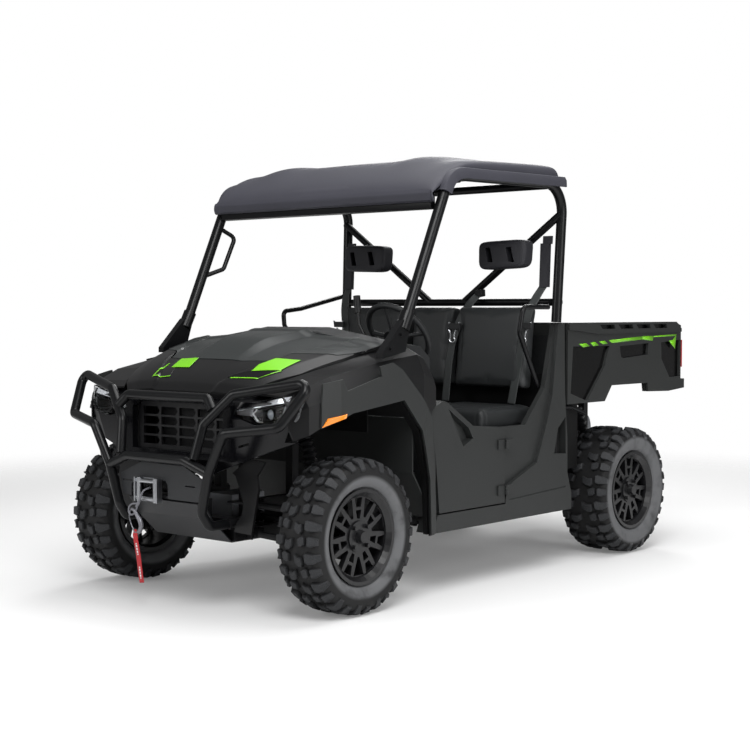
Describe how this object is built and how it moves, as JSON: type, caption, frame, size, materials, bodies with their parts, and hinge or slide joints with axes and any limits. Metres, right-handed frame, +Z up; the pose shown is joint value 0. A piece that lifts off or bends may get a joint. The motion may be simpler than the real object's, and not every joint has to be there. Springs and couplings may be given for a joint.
{
  "type": "side by side utility vehicle",
  "caption": "Open-cab side by side utility vehicle with a roof, bench seat, half doors, tilting cargo bed, front guard and winch.",
  "frame": {"origin": "on the ground under the middle of the vehicle's outline", "axes": "+X forward, +Y to the vehicle's left, +Z up"},
  "size_m": [3.35, 1.55, 2.0018],
  "materials": {
    "rubber": "matte moulded",
    "rim_alloy": "satin black",
    "cast_iron": "cast",
    "painted_steel": "satin black powder coat",
    "charcoal_plastic": "fine grained",
    "gloss_black_plastic": "gloss",
    "roof_plastic": "satin",
    "seat_vinyl": "vinyl",
    "webbing": "woven",
    "red_webbing": "woven",
    "clear_lens": "clear",
    "red_lens": "clear",
    "aluminium": "cast",
    "steel": "bare"
  },
  "bodies": {
    "wheel_front_left": {"tyre_front_left": "rubber", "rim_front_left": "rim_alloy"},
    "wheel_front_right": {"tyre_front_right": "rubber", "rim_front_right": "rim_alloy"},
    "wheel_rear_left": {"tyre_rear_left": "rubber", "rim_rear_left": "rim_alloy"},
    "wheel_rear_right": {"tyre_rear_right": "rubber", "rim_rear_right": "rim_alloy"},
    "steer_left": {"knuckle_left": "cast_iron"},
    "steer_right": {"knuckle_right": "cast_iron"},
    "hand_wheel": {"steering_wheel": "gloss_black_plastic"},
    "door_l": {"door_left": "charcoal_plastic"},
    "door_r": {"door_right": "charcoal_plastic"},
    "bed": {"cargo_bed": "charcoal_plastic", "tail_lamps": "red_lens"},
    "gate": {"tailgate": "charcoal_plastic"},
    "chassis": {"bed_lever": "painted_steel", "belt_sleeves": "charcoal_plastic", "brush_guard": "painted_steel", "cage_cross": "painted_steel", "cage_sides": "painted_steel", "cowl": "charcoal_plastic", "dash": "charcoal_plastic", "engine": "aluminium", "exhaust": "steel", "fairlead": "steel", "fender_covers": "charcoal_plastic", "fender_liners": "charcoal_plastic", "floor": "charcoal_plastic", "front_fascia": "charcoal_plastic", "front_fenders": "charcoal_plastic", "gearcases": "aluminium", "grille": "gloss_black_plastic", "half_shafts": "painted_steel", "hand_holds": "painted_steel", "headlights": "clear_lens", "headrests": "charcoal_plastic", "hitch_receiver": "painted_steel", "hood": "gloss_black_plastic", "hook_strap": "red_webbing", "lower_bumper": "charcoal_plastic", "main_frame": "painted_steel", "radiator": "painted_steel", "rear_knuckles": "cast_iron", "roof_panel": "roof_plastic", "seat_backs": "seat_vinyl", "seat_base": "charcoal_plastic", "seat_belts": "webbing", "seat_cushions": "seat_vinyl", "shift_lever": "gloss_black_plastic", "shocks": "steel", "side_panels": "charcoal_plastic", "skid_plate": "charcoal_plastic", "steering_column": "painted_steel", "suspension_arms": "painted_steel", "winch": "aluminium", "winch_hook": "steel", "winch_plate": "charcoal_plastic"}
  },
  "joints": [
    {"name": "knuckle_left_turn", "type": "hinge", "parent": "chassis", "child": "steer_left", "pos_m": [1.18, 0.575, 0.33], "axis": [0, 0, 1], "range_deg": [-30, 30]},
    {"name": "knuckle_right_turn", "type": "hinge", "parent": "chassis", "child": "steer_right", "pos_m": [1.18, -0.575, 0.33], "axis": [0, 0, 1], "range_deg": [-30, 30]},
    {"name": "hand_wheel_turn", "type": "hinge", "parent": "chassis", "child": "hand_wheel", "pos_m": [0.48, 0.36, 1.168], "axis": [-0.788, 0, 0.6157], "range_deg": [-270, 270]},
    {"name": "roll_front_left", "type": "hinge", "parent": "steer_left", "child": "wheel_front_left", "pos_m": [1.18, 0.6605, 0.33], "axis": [0, 1, 0], "continuous": true},
    {"name": "roll_front_right", "type": "hinge", "parent": "steer_right", "child": "wheel_front_right", "pos_m": [1.18, -0.6605, 0.33], "axis": [0, 1, 0], "continuous": true},
    {"name": "roll_rear_left", "type": "hinge", "parent": "chassis", "child": "wheel_rear_left", "pos_m": [-0.979, 0.6355, 0.33], "axis": [0, 1, 0], "continuous": true},
    {"name": "roll_rear_right", "type": "hinge", "parent": "chassis", "child": "wheel_rear_right", "pos_m": [-0.979, -0.6355, 0.33], "axis": [0, 1, 0], "continuous": true},
    {"name": "door_left_swing", "type": "hinge", "parent": "chassis", "child": "door_l", "pos_m": [0.1, 0.712, 0.54], "axis": [0, 0, 1], "range_deg": [0, 75]},
    {"name": "door_right_swing", "type": "hinge", "parent": "chassis", "child": "door_r", "pos_m": [0.1, -0.712, 0.54], "axis": [0, 0, -1], "range_deg": [0, 75]},
    {"name": "bed_tilt", "type": "hinge", "parent": "chassis", "child": "bed", "pos_m": [-1.4, 0, 0.82], "axis": [0, -1, 0], "range_deg": [0, 42]},
    {"name": "gate_swing", "type": "hinge", "parent": "bed", "child": "gate", "pos_m": [-1.657, 0, 0.911], "axis": [0, -1, 0], "range_deg": [0, 88]}
  ],
  "couplings": [
    {"joint": "knuckle_right_turn", "follows": "knuckle_left_turn", "ratio": 1},
    {"joint": "hand_wheel_turn", "follows": "knuckle_left_turn", "ratio": 9}
  ]
}
